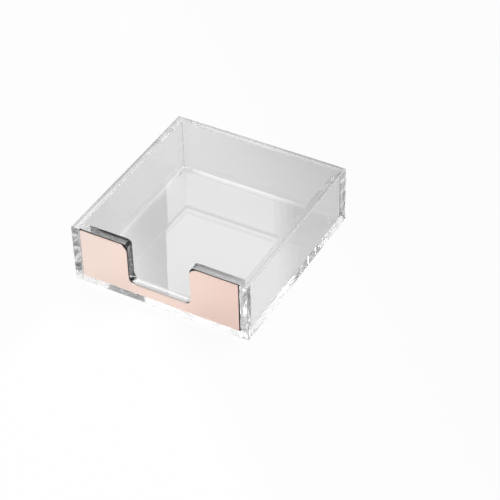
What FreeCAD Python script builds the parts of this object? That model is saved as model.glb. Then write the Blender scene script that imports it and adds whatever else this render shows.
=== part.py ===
import FreeCAD, Part
import Sketcher
import os

from FreeCAD import Vector

# Memo pad holder: an open tray of glued clear sheets with a notched metal plate on its front.
# Millimetres. X runs to the right, Y from front to back and Z up. The origin lies in the middle of
# the footprint, on the surface that the feet stand on.

# Driving dimensions
SIZES = {
    # Glued box, without its feet
    "box_width": 95.0,
    "box_depth": 100.0,
    "box_height": 32.0,
    # Clear sheets and the polished rounding of the box's outer edges
    "base_thickness": 4.0,
    "side_thickness": 4.0,
    "back_thickness": 4.0,
    "front_thickness": 4.0,
    "edge_radius": 0.3,
    # Thumb notch, the same in the front wall, the tape and the plate. Its floor is measured up from
    # the base's upper face. The lobes beside it are rounded at the top, the plate's more than those
    # of the wall and the tape
    "notch_width": 34.0,
    "notch_floor": 5.1,
    "notch_radius": 3.5,
    "lobe_radius": 2.2,
    "plate_lobe_radius": 4.0,
    # Metal face plate between the side walls' front ends, a little lower than they are
    "plate_thickness": 0.4,
    "plate_side_gap": 0.8,
    "plate_top_gap": 0.3,
    "plate_corner_radius": 0.8,
    "plate_rim_radius": 0.12,
    # Double-sided tape behind the plate, as tall as the plate and a little wider
    "tape_thickness": 0.8,
    "tape_side_gap": 0.4,
    # Bumper feet, each centred at the inset from both edges of the base
    "foot_radius": 4.0,
    "foot_height": 1.5,
    "foot_crown_radius": 0.9,
    "foot_inset": 5.5,
    # How far a cut runs past what it cuts
    "overrun": 2.0,
}

# Sizes and places that follow from the driving dimensions
INNER_WIDTH = "(sizes.box_width - 2 * sizes.side_thickness)"
WALL_HEIGHT = "(sizes.box_height - sizes.base_thickness)"
WALL_SEAT = "(sizes.foot_height + sizes.base_thickness)"
BOX_FRONT = "(-sizes.box_depth / 2)"
PLATE_WIDTH = f"({INNER_WIDTH} - 2 * sizes.plate_side_gap)"
PLATE_HEIGHT = f"({WALL_HEIGHT} - sizes.plate_top_gap)"
TAPE_WIDTH = f"({INNER_WIDTH} - 2 * sizes.tape_side_gap)"
PLATE_BACK = f"({BOX_FRONT} + sizes.plate_thickness)"
TAPE_BACK = f"({PLATE_BACK} + sizes.tape_thickness)"
SIDE_CENTRE = "((sizes.box_width - sizes.side_thickness) / 2)"
BACK_CENTRE = "((sizes.box_depth - sizes.back_thickness) / 2)"
FOOT_X = "(sizes.box_width / 2 - sizes.foot_inset)"
FOOT_Y = "(sizes.box_depth / 2 - sizes.foot_inset)"

# Two places nearer than this are the same
SAME_PLACE = 1e-4

doc = FreeCAD.newDocument("memo_pad_holder")
sheet = doc.addObject("Spreadsheet::Sheet", "sizes")
for row, (alias, number) in enumerate(SIZES.items(), start=1):
    sheet.set(f"A{row}", alias)
    sheet.set(f"B{row}", str(number))
    sheet.setAlias(f"B{row}", alias)
doc.recompute()


def value(expression):
    """What an expression on the sheet gives now."""
    return float(sheet.evalExpression(expression))


def checked(obj):
    """Recomputes, and stops if the object failed or has no valid shape."""
    doc.recompute()
    failed = "Invalid" in obj.State or "Error" in obj.State
    if failed or obj.Shape.isNull() or not obj.Shape.isValid():
        raise RuntimeError(f"{obj.Label} failed: {obj.State}")
    return obj


# Bodies, sketches and features

def new_body(label, **place):
    """An empty body. place gives an expression for x, y or z where it isn't zero."""
    body = doc.addObject("PartDesign::Body", label)
    body.Label = label
    for axis, expression in place.items():
        body.setExpression(f"Placement.Base.{axis}", expression)
    return body


def new_sketch(body, name, plane):
    """A sketch on one of the body's own origin planes."""
    sketch = body.newObject("Sketcher::SketchObject", f"{body.Name}_{name}")
    support = next(item for item in body.Origin.OriginFeatures if item.Role == plane)
    sketch.AttachmentSupport = [(support, "")]
    sketch.MapMode = "FlatFace"
    return sketch


def dimension(sketch, name, kind, geometry, expression):
    """A named constraint that follows the sheet."""
    index = sketch.addConstraint(Sketcher.Constraint(kind, *geometry, value(expression)))
    sketch.renameConstraint(index, name)
    sketch.setExpression(f"Constraints.{name}", expression)


def rectangle(sketch, width, height, low=None):
    """A rectangle centred on the sketch's origin or, with low, centred on its upright axis and
    standing that far above its level axis. Edges run bottom, right, top, left."""
    half = value(width) / 2
    bottom = -value(height) / 2 if low is None else value(low)
    top = bottom + value(height)
    corners = [Vector(-half, bottom), Vector(half, bottom), Vector(half, top), Vector(-half, top)]
    for start, end in zip(corners, corners[1:] + corners[:1]):
        sketch.addGeometry(Part.LineSegment(start, end), False)
    edges = range(len(corners))
    start, end, origin, upright = 1, 2, (-1, 1), -2
    for edge, following in zip(edges, [*edges[1:], 0]):
        sketch.addConstraint(Sketcher.Constraint("Coincident", edge, end, following, start))
    for edge in edges[1:]:
        direction = "Vertical" if edge % 2 else "Horizontal"
        sketch.addConstraint(Sketcher.Constraint(direction, edge))
    if low is None:
        sketch.addConstraint(Sketcher.Constraint("Horizontal", 0))
        sketch.addConstraint(Sketcher.Constraint("Symmetric", 0, start, 2, start, *origin))
    else:
        sketch.addConstraint(Sketcher.Constraint("Symmetric", 0, start, 0, end, upright))
        dimension(sketch, "low", "DistanceY", (*origin, 0, start), low)
    dimension(sketch, "width", "DistanceX", (0, start, 0, end), width)
    dimension(sketch, "height", "DistanceY", (1, start, 1, end), height)


def pad(body, sketch, length, backwards=False):
    feature = body.newObject("PartDesign::Pad", f"{body.Name}_pad")
    feature.Profile = sketch
    feature.setExpression("Length", length)
    feature.Reversed = backwards
    return checked(feature)


def fillet(body, name, base, radius, chosen):
    """Rounds the edges of base that chosen accepts by their box."""
    names = [
        f"Edge{number}"
        for number, edge in enumerate(base.Shape.Edges, start=1)
        if chosen(edge.BoundBox)
    ]
    if not names:
        raise RuntimeError(f"{body.Label} has no edge for {name}")
    feature = body.newObject("PartDesign::Fillet", f"{body.Name}_{name}")
    feature.Base = (base, names)
    feature.setExpression("Radius", radius)
    checked(feature)
    if feature.Shape.Volume == base.Shape.Volume:
        raise RuntimeError(f"{feature.Label} changed nothing")
    return feature


def same(a, b):
    return abs(a - b) < SAME_PLACE


# Clear box

def base_plate():
    """The sheet that all walls stand on. Its upright and lower edges are rounded."""
    body = new_body("base_plate", z="sizes.foot_height")
    sketch = new_sketch(body, "outline", "XY_Plane")
    rectangle(sketch, "sizes.box_width", "sizes.box_depth")
    slab = pad(body, sketch, "sizes.base_thickness")
    upper = value("sizes.base_thickness")
    fillet(body, "edges", slab, "sizes.edge_radius", lambda box: not same(box.ZMin, upper))
    return body


def side_wall(label, side):
    """A wall as deep as the box. side is 1 on the right and -1 on the left."""
    body = new_body(label, x=f"{side} * {SIDE_CENTRE}", z=WALL_SEAT)
    sketch = new_sketch(body, "outline", "XY_Plane")
    rectangle(sketch, "sizes.side_thickness", "sizes.box_depth")
    slab = pad(body, sketch, WALL_HEIGHT)
    outer = side * value("sizes.side_thickness / 2")
    top = value(WALL_HEIGHT)

    def shows(box):
        """The edges that the box shows to its outside, and the ends of the upper face."""
        upright = same(box.XMin, outer) and same(box.XMax, outer) and box.ZMax > 0
        end = same(box.ZMin, top) and same(box.YMin, box.YMax)
        return upright or end

    fillet(body, "edges", slab, "sizes.edge_radius", shows)
    return body


def back_wall():
    """The wall between the side walls at the back, its upper outer edge rounded as theirs are."""
    body = new_body("back_wall", y=BACK_CENTRE, z=WALL_SEAT)
    sketch = new_sketch(body, "outline", "XY_Plane")
    rectangle(sketch, INNER_WIDTH, "sizes.back_thickness")
    slab = pad(body, sketch, WALL_HEIGHT)
    outer = value("sizes.back_thickness / 2")
    top = value(WALL_HEIGHT)
    fillet(
        body,
        "edge",
        slab,
        "sizes.edge_radius",
        lambda box: same(box.YMin, outer) and same(box.ZMin, top),
    )
    return body


# Notched front

def notched_sheet(label, front, width, height, thickness, lobe_radius):
    """An upright sheet with the thumb notch cut down from its top. The two lobes are rounded where
    they turn down into the notch, and so are the notch's lower corners. Returns the body and its
    last feature."""
    body = new_body(label, y=front, z=WALL_SEAT)
    outline = new_sketch(body, "outline", "XZ_Plane")
    rectangle(outline, width, height, low="0")
    blank = pad(body, outline, thickness, backwards=True)

    opening = new_sketch(body, "opening", "XZ_Plane")
    depth = f"({height} - sizes.notch_floor + sizes.overrun)"
    rectangle(opening, "sizes.notch_width", depth, low="sizes.notch_floor")
    notch = body.newObject("PartDesign::Pocket", f"{label}_notch")
    notch.Profile = opening
    notch.Type = "ThroughAll"
    notch.Reversed = False
    checked(notch)
    removed = value(f"sizes.notch_width * ({height} - sizes.notch_floor) * {thickness}")
    if not same(blank.Shape.Volume - notch.Shape.Volume, removed):
        raise RuntimeError(f"{label}: the notch isn't cut as it should be")

    side = value("sizes.notch_width / 2")
    top = value(height)
    floor = value("sizes.notch_floor")

    def corner(level):
        """Accepts the edges through the sheet at the notch's sides and this level."""
        return lambda box: (
            same(abs(box.XMin), side) and same(box.ZMin, level) and same(box.ZMax, level)
            and same(box.XMin, box.XMax)
        )

    lobes = fillet(body, "lobes", notch, lobe_radius, corner(top))
    return body, fillet(body, "corners", lobes, "sizes.notch_radius", corner(floor))


def front_wall():
    body, last = notched_sheet(
        "front_wall",
        TAPE_BACK,
        INNER_WIDTH,
        WALL_HEIGHT,
        "sizes.front_thickness",
        "sizes.lobe_radius",
    )
    return body


def plate_adhesive():
    """The tape between the plate and the front wall."""
    body, last = notched_sheet(
        "plate_adhesive",
        PLATE_BACK,
        TAPE_WIDTH,
        PLATE_HEIGHT,
        "sizes.tape_thickness",
        "sizes.lobe_radius",
    )
    return body


def face_plate():
    """The metal plate, flush with the side walls' front ends. Its four outer corners are rounded,
    and its front rim is softly broken."""
    body, notched = notched_sheet(
        "face_plate",
        BOX_FRONT,
        PLATE_WIDTH,
        PLATE_HEIGHT,
        "sizes.plate_thickness",
        "sizes.plate_lobe_radius",
    )
    side = value(f"{PLATE_WIDTH} / 2")

    def outer_corner(box):
        across = same(box.XMin, box.XMax) and same(box.ZMin, box.ZMax)
        return across and same(abs(box.XMin), side)

    outline = fillet(body, "outer_corners", notched, "sizes.plate_corner_radius", outer_corner)
    fillet(
        body,
        "rim",
        outline,
        "sizes.plate_rim_radius",
        lambda box: same(box.YMin, 0) and same(box.YMax, 0),
    )
    return body


# Bumper feet

def foot(label, side, end):
    """A round clear foot under one corner of the base. Its flat top is stuck to the base and its
    lower rim is crowned. side is 1 on the right, end is 1 at the back."""
    body = new_body(label, x=f"{side} * {FOOT_X}", y=f"{end} * {FOOT_Y}")
    sketch = new_sketch(body, "outline", "XY_Plane")
    radius = "sizes.foot_radius"
    circle = sketch.addGeometry(Part.Circle(Vector(), Vector(0, 0, 1), value(radius)), False)
    origin = (-1, 1)
    sketch.addConstraint(Sketcher.Constraint("Coincident", circle, 3, *origin))
    dimension(sketch, "radius", "Radius", (circle,), radius)
    disc = pad(body, sketch, "sizes.foot_height")
    fillet(body, "crown", disc, "sizes.foot_crown_radius", lambda box: same(box.ZMax, 0))
    return body


SIDES = {"left": -1, "right": 1}
ENDS = {"front": -1, "back": 1}

pieces = [base_plate()]
pieces += [side_wall(f"{name}_wall", side) for name, side in SIDES.items()]
pieces += [back_wall(), front_wall(), face_plate(), plate_adhesive()]
pieces += [
    foot(f"foot_{end_name}_{side_name}", side, end)
    for end_name, end in ENDS.items()
    for side_name, side in SIDES.items()
]

doc.recompute()
for item in doc.Objects:
    if "Invalid" in item.State or "Error" in item.State:
        raise RuntimeError(f"{item.Label} failed: {item.State}")
for piece in pieces:
    checked(piece)

os.makedirs("parts", exist_ok=True)
for piece in pieces:
    piece.Shape.exportStep(f"parts/{piece.Label}.step")
    box = piece.Shape.BoundBox
    print(
        f"{piece.Label}: x {box.XMin:.2f} to {box.XMax:.2f}, y {box.YMin:.2f} to {box.YMax:.2f},"
        f" z {box.ZMin:.2f} to {box.ZMax:.2f}, volume {piece.Shape.Volume:.1f}"
    )
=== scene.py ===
import math

import bmesh
import bpy
from mathutils import Matrix, Vector

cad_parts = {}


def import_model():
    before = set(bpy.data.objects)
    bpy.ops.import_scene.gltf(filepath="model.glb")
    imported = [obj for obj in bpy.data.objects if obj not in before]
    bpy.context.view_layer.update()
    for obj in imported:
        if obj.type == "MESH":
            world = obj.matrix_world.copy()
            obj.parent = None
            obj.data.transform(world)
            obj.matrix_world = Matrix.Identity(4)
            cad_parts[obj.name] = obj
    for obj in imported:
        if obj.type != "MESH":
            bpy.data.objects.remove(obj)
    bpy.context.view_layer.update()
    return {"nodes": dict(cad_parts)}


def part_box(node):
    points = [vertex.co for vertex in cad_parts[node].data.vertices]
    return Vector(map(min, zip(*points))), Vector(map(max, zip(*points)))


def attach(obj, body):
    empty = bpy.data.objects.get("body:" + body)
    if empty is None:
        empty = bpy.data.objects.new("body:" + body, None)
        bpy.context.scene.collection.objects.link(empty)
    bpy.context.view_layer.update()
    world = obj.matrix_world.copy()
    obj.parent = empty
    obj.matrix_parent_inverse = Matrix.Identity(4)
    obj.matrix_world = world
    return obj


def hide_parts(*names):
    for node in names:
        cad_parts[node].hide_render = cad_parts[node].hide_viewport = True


# Memo pad holder: clear acrylic sheets, a rose-gold front plate on black tape and clear feet.
# Metres, in the row frame: +X right, +Y back, +Z up.

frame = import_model()

MM = 0.001

# Camera, solved from the six outer corners of the box in the photograph
AZIMUTH_DEG = 29.85
ELEVATION_DEG = 40.37
ROLL_DEG = -1.43
DISTANCE = 860.6 * MM
AIM_RIGHT = 18.42 * MM
AIM_DOWN = 13.2 * MM
FOCAL_PX = 1772.0
FRAME_PX = 500
SENSOR_MM = 36.0

SHEETS = ("base_plate", "left_wall", "right_wall", "back_wall", "front_wall")
FEET = ("foot_front_left", "foot_front_right", "foot_back_left", "foot_back_right")

BASE_LOW, BASE_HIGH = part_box("base_plate")
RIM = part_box("left_wall")[1].z
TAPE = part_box("plate_adhesive")

# From the tape's lower edge up to the notch's floor
NOTCH_FLOOR = 5.1 * MM

# The broken edges where the back wall's ends meet the side walls
SEAM_WIDTH = 0.3 * MM

# How much smaller the tape is all round, and the air between a foot and the base
TAPE_HAIR = 0.02 * MM
FOOT_AIR = 0.03 * MM

FOOT_CROWN = 0.9 * MM
CROWN_STEPS = 10
FOOT_TURNS = 64

ACRYLIC_IOR = 1.49
COAT_IOR = 1.7
BUMPER_IOR = 1.5

# Points closer than WELD are one point, and places closer than NEAR are the same place
WELD = 1e-7
NEAR = 1e-6

# A face looks along an axis when its normal has more than LOOKS along it, and is square on to the
# axis when its normal has more than SQUARE_ON
LOOKS = 0.5
SQUARE_ON = 0.999

AXES = (Vector((1, 0, 0)), Vector((0, 1, 0)), Vector((0, 0, 1)))


# Node helpers

def grey(level):
    """An opaque colour."""
    return (level, level, level, 1.0)


class Tree:
    """A short way to write a node tree."""

    def __init__(self, owner):
        owner.use_nodes = True
        self.tree = owner.node_tree
        self.tree.nodes.clear()

    def add(self, kind, settings=None, **inputs):
        """A node. settings are its properties; inputs are values or sockets to link."""
        node = self.tree.nodes.new(kind)
        for name, setting in (settings or {}).items():
            setattr(node, name, setting)
        for name, given in inputs.items():
            self.feed(node, name.replace("_", " "), given)
        return node

    def feed(self, node, key, given):
        """Links or sets one input. key is its name or its position."""
        socket = node.inputs[key]
        if isinstance(given, bpy.types.NodeSocket):
            self.tree.links.new(given, socket)
        else:
            socket.default_value = given

    def math(self, operation, *given, clamp=False):
        node = self.add("ShaderNodeMath", {"operation": operation, "use_clamp": clamp})
        for position, value in enumerate(given):
            self.feed(node, position, value)
        return node.outputs[0]

    def mix(self, factor, first, second):
        """The first shader where factor is 0 and the second where it is 1."""
        node = self.add("ShaderNodeMixShader")
        for position, given in enumerate((factor, first, second)):
            self.feed(node, position, given)
        return node.outputs[0]

    def colour_mix(self, factor, first, second):
        """The same for colours. Each is a socket, or its red, green and blue."""
        node = self.add("ShaderNodeMix", {"data_type": "RGBA"})
        self.feed(node, 0, factor)
        # The Mix node's colour sockets come after those for numbers and vectors
        for position, given in ((6, first), (7, second)):
            is_socket = isinstance(given, bpy.types.NodeSocket)
            self.feed(node, position, given if is_socket else (*given, 1.0))
        return node.outputs[2]

    def graded(self, value, over, levels, shape="LINEAR"):
        """The first level up to the value over[0], the second from over[1] on, and between them a
        blend."""
        node = self.add("ShaderNodeMapRange", {"interpolation_type": shape}, Value=value)
        for name, number in zip(("From Min", "From Max", "To Min", "To Max"), (*over, *levels)):
            self.feed(node, name, number)
        return node.outputs[0]

    def spread(self, factor, low, high):
        """factor's 0 to 1 as low to high."""
        return self.graded(factor, (0.0, 1.0), (low, high))

    def smooth_step(self, value, over, levels):
        return self.graded(value, over, levels, "SMOOTHSTEP")

    def place(self, scale=(1.0, 1.0, 1.0)):
        """The point on the object in metres, with each axis scaled."""
        point = self.add("ShaderNodeTexCoord").outputs["Object"]
        return self.add("ShaderNodeMapping", Vector=point, Scale=scale).outputs[0]

    def axes(self):
        """The X, Y and Z of the point on the object, in metres."""
        return self.add("ShaderNodeSeparateXYZ", Vector=self.place()).outputs

    def noise(self, vector, scale=1.0, detail=2.0):
        node = self.add("ShaderNodeTexNoise", Vector=vector, Scale=scale, Detail=detail)
        return node.outputs["Fac"]

    def bump(self, height, distance, strength=1.0):
        node = self.add("ShaderNodeBump", Height=height, Distance=distance, Strength=strength)
        return node.outputs[0]

    def surface(self, shader):
        self.add("ShaderNodeOutputMaterial", Surface=shader)


# Materials

def lets_lamps_through(tree, shader, passed):
    """Lamps and room light reach what lies behind the clear shader by straight rays. passed is
    the share of them that gets through."""
    path = tree.add("ShaderNodeLightPath").outputs
    clear = tree.add("ShaderNodeBsdfTransparent", Color=grey(passed)).outputs[0]
    for ray in ("Is Diffuse Ray", "Is Shadow Ray"):
        shader = tree.mix(path[ray], shader, clear)
    return shader


def clear_acrylic(
    name,
    roughness=(-0.05, 0.02),
    ripple_scale=(40.0, 40.0, 40.0),
    ripple_height=0.01 * MM,
    clarity=0.96,
    passed=0.97,
    coated=0.0,
    clear=1.0,
):
    """Polished acrylic, a cast face where nothing else is said. A few faint smudges roughen it
    where roughness rises above nought, and ripples left by casting or polishing bend what is seen
    through it. clarity is a number, or a function that makes a socket in the tree. coated is the
    weight of a hard coat on top, and clear the share that isn't frosted."""
    material = bpy.data.materials.new(name)
    tree = Tree(material)
    smudge = tree.noise(tree.place(), scale=90.0, detail=3.0)
    ripple = tree.noise(tree.place(ripple_scale))
    glass = tree.add(
        "ShaderNodeBsdfPrincipled",
        Base_Color=clarity(tree) if callable(clarity) else grey(clarity),
        Roughness=tree.spread(smudge, *roughness),
        IOR=ACRYLIC_IOR,
        Transmission_Weight=clear,
        Coat_Weight=coated,
        Coat_IOR=COAT_IOR,
        Coat_Roughness=0.0,
        Normal=tree.bump(ripple, ripple_height),
    )
    tree.surface(lets_lamps_through(tree, glass.outputs[0], passed))
    return material


def painted_rim_shade(tree):
    """The clarity of the rims, with painted shade: a grey line along their outer side. It starts
    2.6 mm in from the holder's side or back, and is full from 1.1 mm on."""
    start, full = 2.6 * MM, 1.1 * MM
    # The second level is painted shade along the rims' outer side
    plain, painted_grey = 0.95, 0.62
    point = tree.axes()
    beside = tree.math("ADD", tree.math("ABSOLUTE", point[0]), BASE_HIGH.y - BASE_HIGH.x)
    outwards = tree.math("MAXIMUM", beside, point[1])
    over = (BASE_HIGH.y - start, BASE_HIGH.y - full)
    return tree.smooth_step(outwards, over, (plain, painted_grey))


def bonded_joint():
    """The solvent joint between two sheets: light goes straight through, but for stray bubbles."""
    bubble_radius = 0.16
    patches_above = 0.62
    whiteness = 0.35
    material = bpy.data.materials.new("bonded_joint")
    tree = Tree(material)
    cells = tree.add("ShaderNodeTexVoronoi", Vector=tree.place(), Scale=900.0)
    bubble = tree.math("LESS_THAN", cells.outputs["Distance"], bubble_radius)
    patch = tree.math("GREATER_THAN", tree.noise(tree.place(), scale=120.0), patches_above)
    amount = tree.math("MULTIPLY", tree.math("MULTIPLY", bubble, patch), whiteness)
    clear = tree.add("ShaderNodeBsdfTransparent").outputs[0]
    white = tree.add("ShaderNodeBsdfDiffuse", Color=grey(0.8)).outputs[0]
    tree.surface(tree.mix(amount, clear, white))
    return material


def taped_face():
    """The front wall's face behind the tape. Where the tape wets it, mostly on the left, black
    shows through, and elsewhere a film of air mirrors as any polished face does."""
    streak_weight = 0.6
    material = bpy.data.materials.new("acrylic_taped_face")
    tree = Tree(material)
    streaks = tree.noise(tree.place(scale=(25.0, 25.0, 160.0)), detail=3.0)
    pressed = tree.graded(tree.axes()[0], (-30 * MM, 30 * MM), (0.45, -0.05))
    streaky = tree.math("MULTIPLY", streaks, streak_weight)
    glass = tree.add(
        "ShaderNodeBsdfPrincipled",
        Base_Color=grey(0.99),
        Roughness=tree.spread(streaks, -0.04, 0.02),
        IOR=ACRYLIC_IOR,
        Transmission_Weight=1.0,
        Normal=tree.bump(streaks, 0.002 * MM),
    )
    wetted = tree.math("ADD", pressed, streaky, clamp=True)
    clear = tree.add("ShaderNodeBsdfTransparent").outputs[0]
    tree.surface(tree.mix(wetted, glass.outputs[0], clear))
    return material


def rose_gold():
    """Satin plated steel with a very fine level grain. Its colour holds painted light: it is paler
    towards the left, and its tone also varies a little at random.
    """
    # The pale colour serves both for the plate's lighter random tone and for the painted light on
    # its left
    deep, pale = (0.905, 0.68, 0.602), (0.975, 0.805, 0.725)
    cloud_weight = 0.35
    material = bpy.data.materials.new("rose_gold_plate")
    tree = Tree(material)
    grain = tree.noise(tree.place(scale=(120.0, 400.0, 9000.0)), detail=4.0)
    cloud = tree.noise(tree.place(), scale=35.0)
    # Painted light: the plate's colour is paler towards the left
    across = tree.graded(tree.axes()[0], (-45 * MM, 45 * MM), (0.85, -0.25))
    cloudy = tree.math("MULTIPLY", cloud, cloud_weight)
    shade = tree.math("ADD", across, cloudy, clamp=True)
    metal = tree.add(
        "ShaderNodeBsdfPrincipled",
        Base_Color=tree.colour_mix(shade, deep, pale),
        Metallic=1.0,
        Roughness=tree.spread(grain, 0.26, 0.34),
        Normal=tree.bump(grain, 0.004 * MM, strength=0.4),
    )
    tree.surface(metal.outputs[0])
    return material


def black_tape():
    """Black tape, with a band of painted light, a paler grey, along its cut face at the notch's
    floor.
    """
    # The third colour is painted light for the tape's cut face at the notch's floor
    dark, dusty, painted_light_grey = (0.008, 0.008, 0.008), (0.03, 0.03, 0.03), (0.45, 0.42, 0.4)
    material = bpy.data.materials.new("black_tape")
    tree = Tree(material)
    pores = tree.noise(tree.place(), scale=2500.0, detail=3.0)
    # Painted light: this picks out the tape's cut face at the notch's floor
    painted_light_band = tree.math("COMPARE", tree.axes()[2], TAPE[0].z + NOTCH_FLOOR, 0.1 * MM)
    foam = tree.add(
        "ShaderNodeBsdfPrincipled",
        Base_Color=tree.colour_mix(painted_light_band, tree.colour_mix(pores, dark, dusty), painted_light_grey),
        Roughness=tree.spread(pores, 0.65, 0.95),
        Normal=tree.bump(pores, 0.05 * MM),
    )
    tree.surface(foam.outputs[0])
    return material


def clear_bumper():
    """Soft clear polyurethane, a little hazier than the acrylic."""
    material = bpy.data.materials.new("clear_bumper")
    tree = Tree(material)
    haze = tree.noise(tree.place(), scale=600.0, detail=3.0)
    soft = tree.add(
        "ShaderNodeBsdfPrincipled",
        Base_Color=(0.96, 0.965, 0.965, 1.0),
        Roughness=tree.spread(haze, 0.04, 0.14),
        IOR=BUMPER_IOR,
        Transmission_Weight=0.8,
        Normal=tree.bump(haze, 0.01 * MM),
    )
    tree.surface(lets_lamps_through(tree, soft.outputs[0], passed=0.9))
    return material


# Sheets

# The material slots, one for each kind of face
FACE, EDGE, JOINT, TAPED, POCKET, FOOTING, SEAM, BAND, ROUNDING, PAD_FACE, END, TOP = range(12)


def sheet_materials():
    """The material for each kind of face, in the order of the slots. The wall foot passes more
    light than it gets, because the walls lead light down to it."""
    edge = {"ripple_scale": (150.0, 150.0, 40.0), "ripple_height": 0.001 * MM}
    by_slot = {
        FACE: clear_acrylic("acrylic_face"),
        EDGE: clear_acrylic("acrylic_edge", **edge, clarity=0.99),
        JOINT: bonded_joint(),
        TAPED: taped_face(),
        POCKET: clear_acrylic("acrylic_pocket_floor", passed=0.88),
        FOOTING: clear_acrylic("acrylic_wall_foot", passed=1.4),
        SEAM: clear_acrylic(
            "acrylic_seam",
            roughness=(-0.1, 0.05),
            ripple_scale=(90.0, 90.0, 40.0),
            clarity=0.03,
            passed=0.9,
        ),
        BAND: clear_acrylic(
            "acrylic_band",
            ripple_scale=(150.0, 150.0, 150.0),
            ripple_height=0.004 * MM,
            clarity=0.97,
        ),
        ROUNDING: clear_acrylic(
            "acrylic_rounding",
            roughness=(0.3, 0.4),
            ripple_scale=(90.0, 90.0, 40.0),
            ripple_height=0.002 * MM,
            clarity=0.99,
            clear=0.25,
        ),
        PAD_FACE: clear_acrylic("acrylic_pad_face", coated=0.68),
        END: clear_acrylic(
            "acrylic_end",
            ripple_scale=(500.0, 500.0, 300.0),
            ripple_height=0.04 * MM,
            clarity=0.6,
        ),
        # The rims' clarity holds a painted shade along their outer side
        TOP: clear_acrylic("acrylic_rim", **edge, clarity=painted_rim_shade),
    }
    return [by_slot[slot] for slot in sorted(by_slot)]


def linked(name, mesh, materials, sharp_deg=None):
    """An object made of a bmesh, which is freed. Corners of more than sharp_deg stay sharp."""
    data = bpy.data.meshes.new(name)
    mesh.to_mesh(data)
    mesh.free()
    if sharp_deg:
        data.set_sharp_from_angle(angle=math.radians(sharp_deg))
    for material in materials:
        data.materials.append(material)
    made = bpy.data.objects.new(name, data)
    bpy.context.collection.objects.link(made)
    return made


def touching(node):
    """The boxes of the sheets that a sheet is bonded to, the back wall's less its seams."""
    boxes = []
    for other in SHEETS:
        if other != node:
            low, high = (corner.copy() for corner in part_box(other))
            if other == "back_wall" and node != "base_plate":
                low.y += SEAM_WIDTH
            boxes.append((low, high))
    return boxes


def pocket_floor(beside, behind):
    """The pocket's place over the whole height, grown under the walls."""
    low = Vector((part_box("left_wall")[1].x - beside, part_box("front_wall")[1].y - behind, -1))
    high = Vector((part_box("right_wall")[0].x + beside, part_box("back_wall")[0].y + behind, 1))
    return low, high


# Between these two lie the strips of the base's underside that pass the light the walls lead down
STRIPS_FROM = pocket_floor(beside=0.9 * MM, behind=2.8 * MM)
STRIPS_TO = pocket_floor(beside=1.9 * MM, behind=4.0 * MM)


def seamed(mesh, low, high):
    """Breaks the back wall's upright inner edges."""
    edges = [
        edge
        for edge in mesh.edges
        if all(abs(vert.co.y - low.y) < NEAR for vert in edge.verts)
        and abs(edge.verts[0].co.x - edge.verts[1].co.x) < NEAR
        and min(edge.verts[0].co.x - low.x, high.x - edge.verts[0].co.x) < NEAR
    ]
    bmesh.ops.bevel(mesh, geom=edges, offset=SEAM_WIDTH, segments=1, affect="EDGES")


def cut_along(mesh, low, high, boxes):
    """Splits the faces where the edges of a neighbour's box cross them."""
    slack = 0.05 * MM
    for box in boxes:
        for corner in box:
            for axis, along in enumerate(AXES):
                if low[axis] + slack < corner[axis] < high[axis] - slack:
                    bmesh.ops.bisect_plane(
                        mesh,
                        geom=[*mesh.verts, *mesh.edges, *mesh.faces],
                        dist=WELD,
                        plane_co=along * corner[axis],
                        plane_no=along,
                    )


def inside(point, box):
    return all(box[0][axis] < point[axis] < box[1][axis] for axis in range(3))


def slot_of(face, node, thin, neighbours):
    """The material slot for a sheet's face. thin is the axis that the sheet is thinnest along."""
    reach = 0.1 * MM
    normal = face.normal
    middle = face.calc_center_median()
    ahead = middle + normal * reach
    aslant = max(abs(part) for part in normal) < SQUARE_ON
    if aslant and node == "back_wall" and normal.y < 0:
        return SEAM
    if aslant and node in ("base_plate", "right_wall"):
        return ROUNDING
    if any(inside(ahead, box) for box in neighbours):
        return JOINT
    if inside(ahead, TAPE):
        return TAPED if node == "front_wall" else JOINT
    if node == "base_plate" and normal.z < -LOOKS:
        lit = inside(middle, STRIPS_TO) and not inside(middle, STRIPS_FROM)
        return FOOTING if lit else POCKET
    if node == "base_plate":
        return PAD_FACE if normal.z > LOOKS else BAND
    if abs(normal[thin]) > SQUARE_ON:
        return FACE
    if thin == 0 and normal.y < -LOOKS:
        return END
    if normal.z > LOOKS and middle.z > RIM - reach:
        return TOP
    return EDGE


def sheet_copy(node, materials):
    """A node's mesh, split so that each kind of face has a material of its own."""
    mesh = bmesh.new()
    mesh.from_mesh(frame["nodes"][node].data)
    bmesh.ops.remove_doubles(mesh, verts=mesh.verts, dist=WELD)
    bmesh.ops.dissolve_limit(
        mesh, angle_limit=math.radians(0.05), verts=mesh.verts, edges=mesh.edges
    )
    low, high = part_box(node)
    extent = high - low
    thin = min(range(3), key=lambda axis: extent[axis])
    neighbours = touching(node)
    cuts = [*neighbours, TAPE]
    if node == "base_plate":
        cuts += [STRIPS_FROM, STRIPS_TO]
    if node == "back_wall":
        seamed(mesh, low, high)
    cut_along(mesh, low, high, cuts)
    mesh.normal_update()
    for face in mesh.faces:
        face.material_index = slot_of(face, node, thin, neighbours)
        face.smooth = True
    piece = linked(f"{node}_sheet", mesh, materials, sharp_deg=30)
    weighted = piece.modifiers.new("flat_faces", "WEIGHTED_NORMAL")
    weighted.keep_sharp = True
    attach(piece, "root")
    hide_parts(node)


# Tape

def tape_copy(material):
    """The tape, a hair smaller all round, so that the acrylic that it touches shows before it."""
    mesh = bmesh.new()
    mesh.from_mesh(frame["nodes"]["plate_adhesive"].data)
    bmesh.ops.remove_doubles(mesh, verts=mesh.verts, dist=WELD)
    low, high = TAPE
    for vert in mesh.verts:
        for axis in range(3):
            if vert.co[axis] < low[axis] + TAPE_HAIR:
                vert.co[axis] += TAPE_HAIR
            elif vert.co[axis] > high[axis] - TAPE_HAIR:
                vert.co[axis] -= TAPE_HAIR
    piece = linked("tape", mesh, [material])
    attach(piece, "root")
    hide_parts("plate_adhesive")


# Feet

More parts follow.
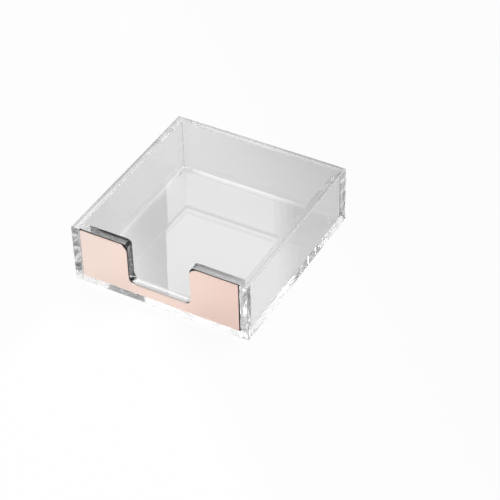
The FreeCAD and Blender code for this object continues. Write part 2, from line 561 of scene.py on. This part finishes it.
def foot_profile(radius, height):
    """From the middle of the underside out round the crown and up to the stuck top."""
    points = [(0.0, 0.0)]
    for step in range(CROWN_STEPS + 1):
        turn = math.radians(90) * step / CROWN_STEPS
        out = radius - FOOT_CROWN + FOOT_CROWN * math.sin(turn)
        points.append((out, FOOT_CROWN - FOOT_CROWN * math.cos(turn)))
    points += [(radius, height), (0.0, height)]
    return points


def turned(name, profile, centre, material):
    """A closed body turned about an upright line through centre."""
    mesh = bmesh.new()
    line = [mesh.verts.new((out, 0.0, up)) for out, up in profile]
    edges = [mesh.edges.new(pair) for pair in zip(line, line[1:])]
    bmesh.ops.spin(
        mesh,
        geom=line + edges,
        cent=(0, 0, 0),
        axis=(0, 0, 1),
        angle=math.tau,
        steps=FOOT_TURNS,
        use_merge=True,
    )
    bmesh.ops.remove_doubles(mesh, verts=mesh.verts, dist=WELD)
    bmesh.ops.recalc_face_normals(mesh, faces=mesh.faces)
    bmesh.ops.translate(mesh, verts=mesh.verts, vec=centre)
    for face in mesh.faces:
        face.smooth = True
    return linked(name, mesh, [material], sharp_deg=40)


def bumper(node, material):
    """A foot, with a hair of air under the base so that both surfaces show."""
    low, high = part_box(node)
    profile = foot_profile((high.x - low.x) / 2, high.z - low.z - FOOT_AIR)
    centre = Vector(((low.x + high.x) / 2, (low.y + high.y) / 2, low.z))
    piece = turned(f"{node}_bumper", profile, centre, material)
    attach(piece, "root")
    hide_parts(node)


def dress():
    """All pieces of the holder. The plate is the CAD node itself."""
    acrylic = sheet_materials()
    for node in SHEETS:
        sheet_copy(node, acrylic)
    soft = clear_bumper()
    for node in FEET:
        bumper(node, soft)
    tape_copy(black_tape())
    plate = frame["nodes"]["face_plate"].data
    plate.materials.clear()
    plate.materials.append(rose_gold())


# Stage

def floor_tone(tree):
    """The grey of the floor that is seen through the sheets, with painted shade and light on it.
    Painted shade dims it behind on the right, painted light makes it lighter in front of the
    pocket, and painted shade makes it darker in front on the left of it."""
    plain, dim, painted_lift = 0.7, 0.48, 0.26
    back_weight = 1.2
    left_share, pocket_share = -0.2, 1.0
    point = tree.axes()
    slant = tree.math("ADD", point[0], tree.math("MULTIPLY", point[1], back_weight))
    # Painted shade: the floor's grey dims behind on the right
    painted_dimming = tree.smooth_step(slant, (35 * MM, 145 * MM), (plain, dim))
    # Painted light in front of the pocket, which share turns into painted shade in front on its
    # left
    front = tree.smooth_step(slant, (-75 * MM, -35 * MM), (painted_lift, 0.0))
    share = tree.smooth_step(point[0], (-56 * MM, -40 * MM), (left_share, pocket_share))
    return tree.math("ADD", painted_dimming, tree.math("MULTIPLY", front, share))


def floor_material():
    """A pale floor that shows white to the camera and keeps a soft share of the shadows. Light
    that ran far inside a sheet comes from the open white floor round the holder."""
    white_seen, white_mirrored, white_through, white_far = 0.94, 0.75, 0.12, 0.8
    far_bounces = 8.0
    material = bpy.data.materials.new("pale_floor")
    tree = Tree(material)
    path = tree.add("ShaderNodeLightPath").outputs
    lit = tree.add("ShaderNodeBsdfDiffuse", Color=floor_tone(tree)).outputs[0]
    white = tree.add("ShaderNodeEmission", Color=grey(1.0), Strength=1.0).outputs[0]
    seen = tree.math("MULTIPLY", path["Is Camera Ray"], white_seen)
    refracted = path["Is Transmission Ray"]
    reflected = tree.math("SUBTRACT", path["Is Glossy Ray"], refracted, clamp=True)
    mirrored = tree.math("MULTIPLY", reflected, white_mirrored)
    far = tree.math("GREATER_THAN", path["Glossy Depth"], far_bounces)
    through = tree.math("MULTIPLY", refracted, tree.spread(far, white_through, white_far))
    share = tree.math("MAXIMUM", seen, tree.math("MAXIMUM", mirrored, through))
    tree.surface(tree.mix(share, lit, white))
    return material


def floor():
    mesh = bmesh.new()
    bmesh.ops.create_grid(mesh, x_segments=8, y_segments=8, size=4.0)
    plane = linked("floor", mesh, [floor_material()])


def world():
    """White behind everything that the camera sees, and for the rest a dim room, darkest
    overhead."""
    low_level, top_level = 0.5, 0.2
    between = ((0.3, 0.4), (0.6, 0.45), (0.85, 0.35))
    room = bpy.data.worlds.new("room")
    bpy.context.scene.world = room
    tree = Tree(room)
    direction = tree.add("ShaderNodeTexCoord").outputs["Generated"]
    height = tree.add("ShaderNodeSeparateXYZ", Vector=direction).outputs[2]
    ramp = tree.add("ShaderNodeValToRGB", Fac=height)
    stops = ramp.color_ramp.elements
    stops[0].position, stops[0].color = 0.0, grey(low_level)
    stops[1].position, stops[1].color = 1.0, grey(top_level)
    for position, level in between:
        stops.new(position).color = grey(level)
    dim = tree.add("ShaderNodeBackground", Color=ramp.outputs[0], Strength=1.0).outputs[0]
    white = tree.add("ShaderNodeBackground", Color=grey(1.0), Strength=1.0).outputs[0]
    seen = tree.add("ShaderNodeLightPath").outputs["Is Camera Ray"]
    tree.add("ShaderNodeOutputWorld", Surface=tree.mix(seen, dim, white))


def softbox(name, place, width, height, watts):
    """An area lamp that looks at the holder."""
    lamp = bpy.data.lights.new(name, "AREA")
    lamp.shape = "RECTANGLE"
    lamp.size = width
    lamp.size_y = height
    lamp.energy = watts
    box = bpy.data.objects.new(name, lamp)
    box.location = place
    box.rotation_euler = (-Vector(place)).to_track_quat("-Z", "Y").to_euler()
    bpy.context.collection.objects.link(box)
    return box


def faded_strip(place, width, length, radiance, steps, step_width):
    """A strip lamp that fades out in steps on one side, so that its mirror image in the pocket's
    floor has a soft edge there."""
    for step in range(steps + 1):
        across = step_width if step else width
        level = radiance * (1 - step / (steps + 1))
        lamp = softbox(f"strip_{step}", place, across, length, level * math.pi * across * length)
        if step:
            shift = width / 2 + step_width * (step - 0.5)
            lamp.location -= shift * (lamp.rotation_euler.to_matrix() @ AXES[0])


def lamps():
    softbox("overhead", place=(0.2, 0.5, 1.3), width=0.8, height=0.8, watts=12.5)
    softbox("side", place=(-1.2, -0.5, 0.9), width=0.7, height=0.7, watts=4.5)
    faded_strip(
        place=(-0.387, 0.65, 0.72),
        width=0.118,
        length=0.8,
        radiance=1.4,
        steps=3,
        step_width=0.007,
    )


def camera():
    """The photograph's camera. It looks at the box's middle, is rolled a little, and then moves
    aside without turning."""
    azimuth, elevation, roll = (
        math.radians(angle) for angle in (AZIMUTH_DEG, ELEVATION_DEG, ROLL_DEG)
    )
    back = Vector((
        math.sin(azimuth) * math.cos(elevation),
        -math.cos(azimuth) * math.cos(elevation),
        math.sin(elevation),
    ))
    level = AXES[2].cross(back).normalized()
    upright = back.cross(level)
    right = math.cos(roll) * level + math.sin(roll) * upright
    up = -math.sin(roll) * level + math.cos(roll) * upright
    middle = Vector((0, 0, (BASE_LOW.z + RIM) / 2))
    place = middle + AIM_RIGHT * right - AIM_DOWN * up + DISTANCE * back
    turn = Matrix((right, up, back)).transposed()
    data = bpy.data.cameras.new("camera")
    data.sensor_width = SENSOR_MM
    data.lens = SENSOR_MM * FOCAL_PX / FRAME_PX
    view = bpy.data.objects.new("camera", data)
    view.matrix_world = Matrix.Translation(place) @ turn.to_4x4()
    bpy.context.collection.objects.link(view)
    bpy.context.scene.camera = view


def long_paths():
    """Light runs to and fro inside the clear sheets many times before it leaves them."""
    cycles = bpy.context.scene.cycles
    cycles.max_bounces = 40
    cycles.glossy_bounces = 32
    cycles.transmission_bounces = 32
    cycles.transparent_max_bounces = 48


camera()
dress()
floor()
world()
lamps()
long_paths()
bpy.context.scene.view_settings.view_transform = "Standard"
